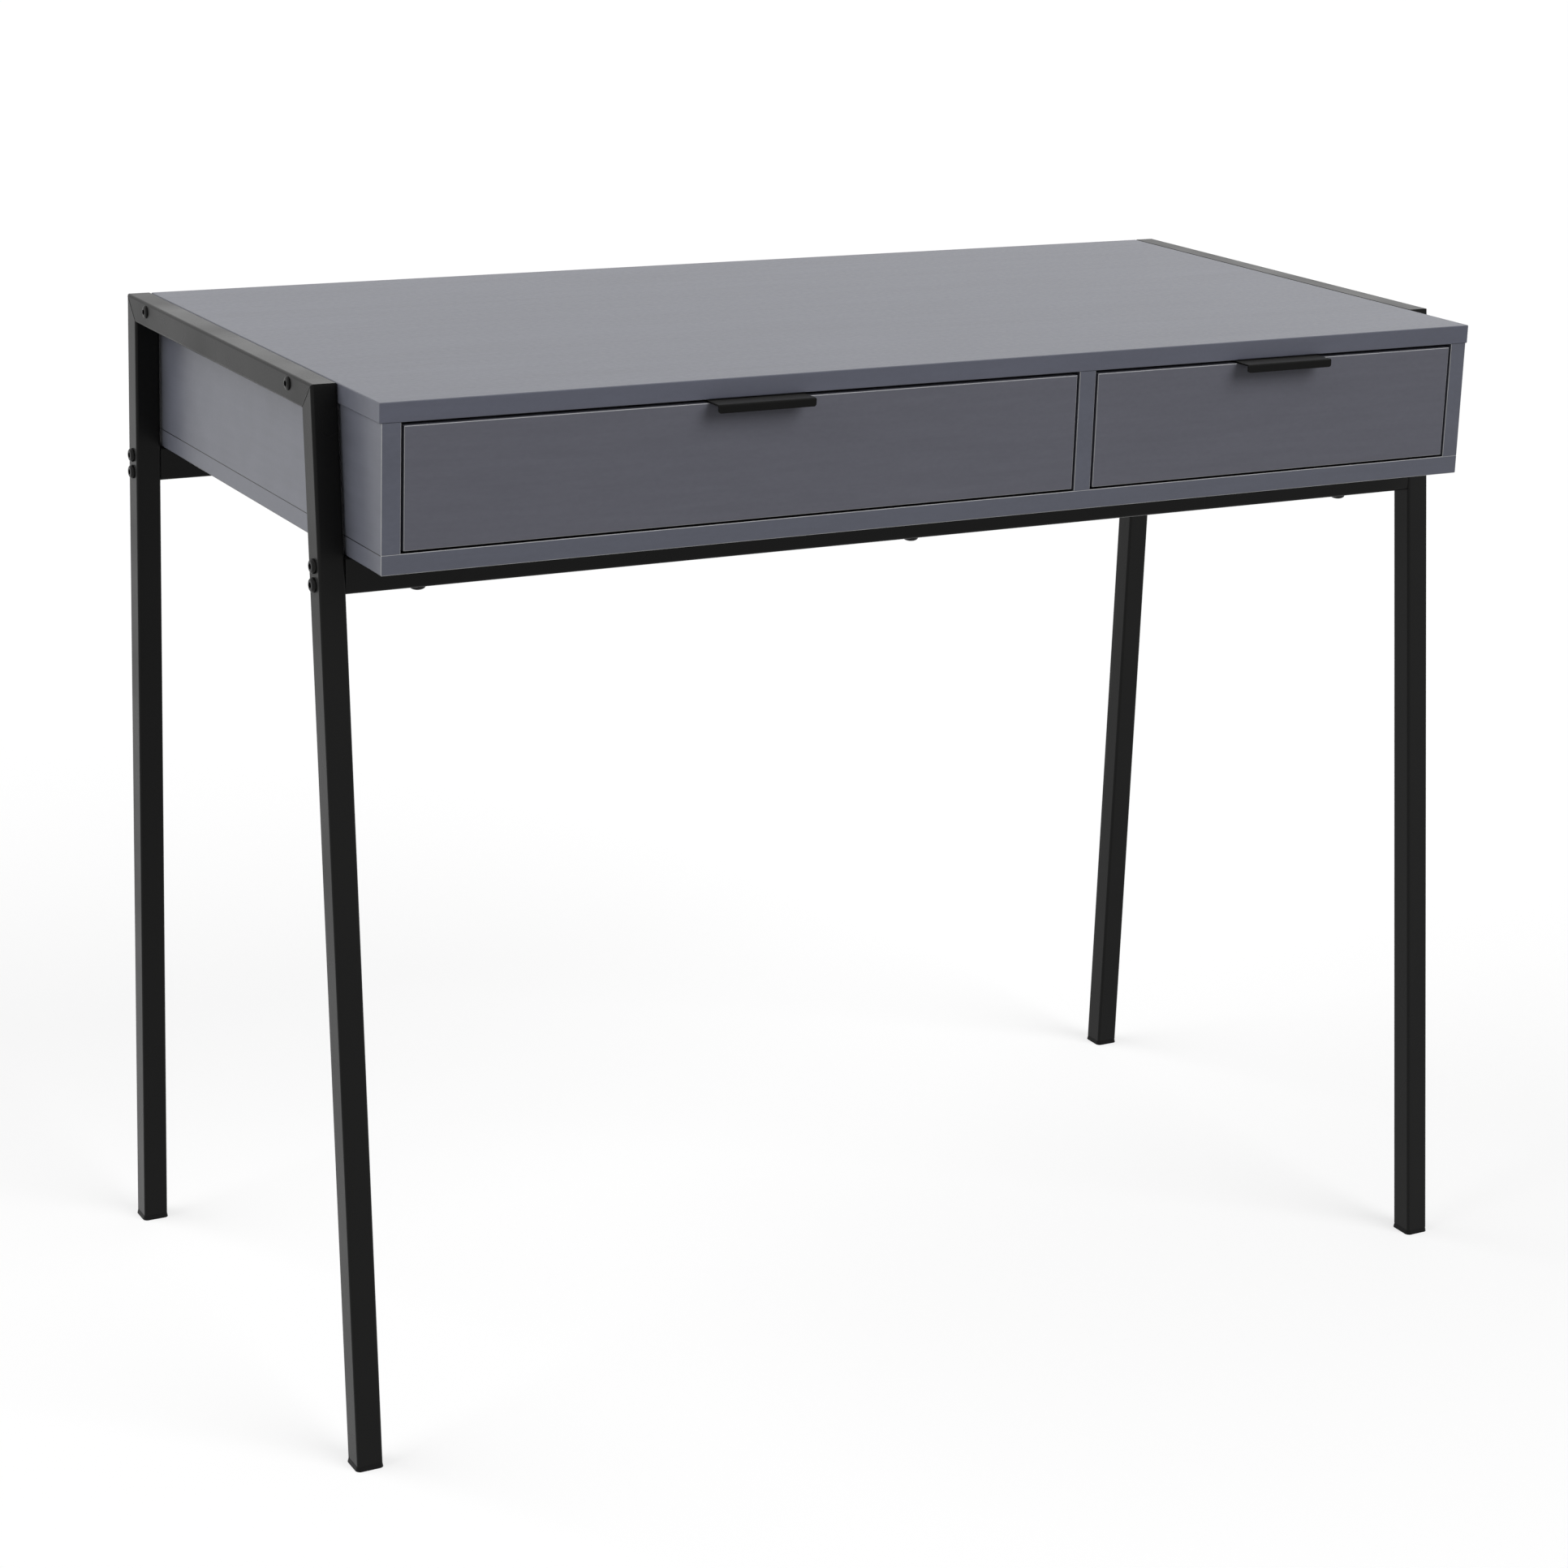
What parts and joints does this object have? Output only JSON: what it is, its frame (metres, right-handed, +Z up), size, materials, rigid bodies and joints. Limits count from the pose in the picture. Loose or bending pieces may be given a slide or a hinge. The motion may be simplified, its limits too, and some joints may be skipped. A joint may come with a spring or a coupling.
{
  "type": "writing desk",
  "caption": "Writing desk with a shallow case, a wide and a narrow drawer on roller runners, and a leaning square tube steel frame on plastic feet.",
  "frame": {"origin": "on the floor, in the middle of the box around the desk", "axes": "+X to the right of the person who sits at the desk, +Y away from that person, +Z up"},
  "size_m": [0.9438, 0.4716, 0.75],
  "materials": {
    "melamine_board": "matte blue grey melamine faced board with matching edge band",
    "drawer_board": "matte grey melamine faced board",
    "hardboard": "grey painted hardboard",
    "dowel_wood": "fluted beech",
    "frame_coating": "fine matte black powder coat",
    "pull_coating": "satin black powder coat",
    "black_screws": "black oxide",
    "zinc_screws": "bright zinc plate",
    "runner_steel": "white coated sheet steel",
    "nylon": "natural white nylon",
    "foot_plastic": "black moulded plastic"
  },
  "bodies": {
    "desk": {"desktop": "melamine_board", "base_panel": "melamine_board", "left_side_panel": "melamine_board", "right_side_panel": "melamine_board", "centre_divider": "melamine_board", "back_panel": "melamine_board", "panel_dowels": "dowel_wood", "front_cross_rail": "frame_coating", "rear_cross_rail": "frame_coating", "rail_end_plates": "frame_coating", "frame_bolts": "black_screws", "top_rail_screws": "black_screws", "base_screws": "black_screws", "runner_screws": "zinc_screws", "left_top_rail": "frame_coating", "left_front_leg": "frame_coating", "left_rear_leg": "frame_coating", "left_front_foot": "foot_plastic", "left_rear_foot": "foot_plastic", "right_top_rail": "frame_coating", "right_front_leg": "frame_coating", "right_rear_leg": "frame_coating", "right_front_foot": "foot_plastic", "right_rear_foot": "foot_plastic", "left_bay_left_channel": "runner_steel", "left_bay_right_channel": "runner_steel", "right_bay_left_channel": "runner_steel", "right_bay_right_channel": "runner_steel"},
    "left_drawer": {"left_drawer_front": "melamine_board", "left_drawer_left_side": "drawer_board", "left_drawer_right_side": "drawer_board", "left_drawer_back": "drawer_board", "left_drawer_bottom": "hardboard", "left_drawer_pull": "pull_coating", "left_drawer_pull_screws": "zinc_screws", "left_drawer_corner_dowels": "dowel_wood", "left_drawer_corner_screws": "zinc_screws", "left_drawer_track_screws": "zinc_screws", "left_drawer_left_track": "runner_steel", "left_drawer_right_track": "runner_steel"},
    "right_drawer": {"right_drawer_front": "melamine_board", "right_drawer_left_side": "drawer_board", "right_drawer_right_side": "drawer_board", "right_drawer_back": "drawer_board", "right_drawer_bottom": "hardboard", "right_drawer_pull": "pull_coating", "right_drawer_pull_screws": "zinc_screws", "right_drawer_corner_dowels": "dowel_wood", "right_drawer_corner_screws": "zinc_screws", "right_drawer_track_screws": "zinc_screws", "right_drawer_left_track": "runner_steel", "right_drawer_right_track": "runner_steel"},
    "left_bay_left_front_roller": {"left_bay_left_front_roller": "nylon"},
    "left_drawer_left_rear_roller": {"left_drawer_left_rear_roller": "nylon"},
    "left_bay_right_front_roller": {"left_bay_right_front_roller": "nylon"},
    "left_drawer_right_rear_roller": {"left_drawer_right_rear_roller": "nylon"},
    "right_bay_left_front_roller": {"right_bay_left_front_roller": "nylon"},
    "right_drawer_left_rear_roller": {"right_drawer_left_rear_roller": "nylon"},
    "right_bay_right_front_roller": {"right_bay_right_front_roller": "nylon"},
    "right_drawer_right_rear_roller": {"right_drawer_right_rear_roller": "nylon"}
  },
  "joints": [
    {"name": "left_drawer_slide", "type": "slide", "parent": "desk", "child": "left_drawer", "axis": [0, -1, 0], "range_m": [0, 0.28]},
    {"name": "right_drawer_slide", "type": "slide", "parent": "desk", "child": "right_drawer", "axis": [0, -1, 0], "range_m": [0, 0.28]},
    {"name": "left_bay_left_front_roller_spin", "type": "hinge", "parent": "desk", "child": "left_bay_left_front_roller", "pos_m": [-0.4288, -0.19495, 0.6652], "axis": [1, 0, 0], "range_deg": [-10, 2480]},
    {"name": "left_drawer_left_rear_roller_spin", "type": "hinge", "parent": "left_drawer", "child": "left_drawer_left_rear_roller", "pos_m": [-0.4281, 0.18605, 0.6638], "axis": [1, 0, 0], "range_deg": [-10, 2480]},
    {"name": "left_bay_right_front_roller_spin", "type": "hinge", "parent": "desk", "child": "left_bay_right_front_roller", "pos_m": [0.0878, -0.19495, 0.6652], "axis": [1, 0, 0], "range_deg": [-10, 2480]},
    {"name": "left_drawer_right_rear_roller_spin", "type": "hinge", "parent": "left_drawer", "child": "left_drawer_right_rear_roller", "pos_m": [0.0871, 0.18605, 0.6638], "axis": [1, 0, 0], "range_deg": [-10, 2480]},
    {"name": "right_bay_left_front_roller_spin", "type": "hinge", "parent": "desk", "child": "right_bay_left_front_roller", "pos_m": [0.1132, -0.19495, 0.6652], "axis": [1, 0, 0], "range_deg": [-10, 2480]},
    {"name": "right_drawer_left_rear_roller_spin", "type": "hinge", "parent": "right_drawer", "child": "right_drawer_left_rear_roller", "pos_m": [0.1139, 0.18605, 0.6638], "axis": [1, 0, 0], "range_deg": [-10, 2480]},
    {"name": "right_bay_right_front_roller_spin", "type": "hinge", "parent": "desk", "child": "right_bay_right_front_roller", "pos_m": [0.4288, -0.19495, 0.6652], "axis": [1, 0, 0], "range_deg": [-10, 2480]},
    {"name": "right_drawer_right_rear_roller_spin", "type": "hinge", "parent": "right_drawer", "child": "right_drawer_right_rear_roller", "pos_m": [0.4281, 0.18605, 0.6638], "axis": [1, 0, 0], "range_deg": [-10, 2480]}
  ],
  "couplings": [
    {"joint": "left_bay_left_front_roller_spin", "follows": "left_drawer_slide", "rad_per_m": 153.85},
    {"joint": "left_drawer_left_rear_roller_spin", "follows": "left_drawer_slide", "rad_per_m": 153.85},
    {"joint": "left_bay_right_front_roller_spin", "follows": "left_drawer_slide", "rad_per_m": 153.85},
    {"joint": "left_drawer_right_rear_roller_spin", "follows": "left_drawer_slide", "rad_per_m": 153.85},
    {"joint": "right_bay_left_front_roller_spin", "follows": "right_drawer_slide", "rad_per_m": 153.85},
    {"joint": "right_drawer_left_rear_roller_spin", "follows": "right_drawer_slide", "rad_per_m": 153.85},
    {"joint": "right_bay_right_front_roller_spin", "follows": "right_drawer_slide", "rad_per_m": 153.85},
    {"joint": "right_drawer_right_rear_roller_spin", "follows": "right_drawer_slide", "rad_per_m": 153.85}
  ]
}
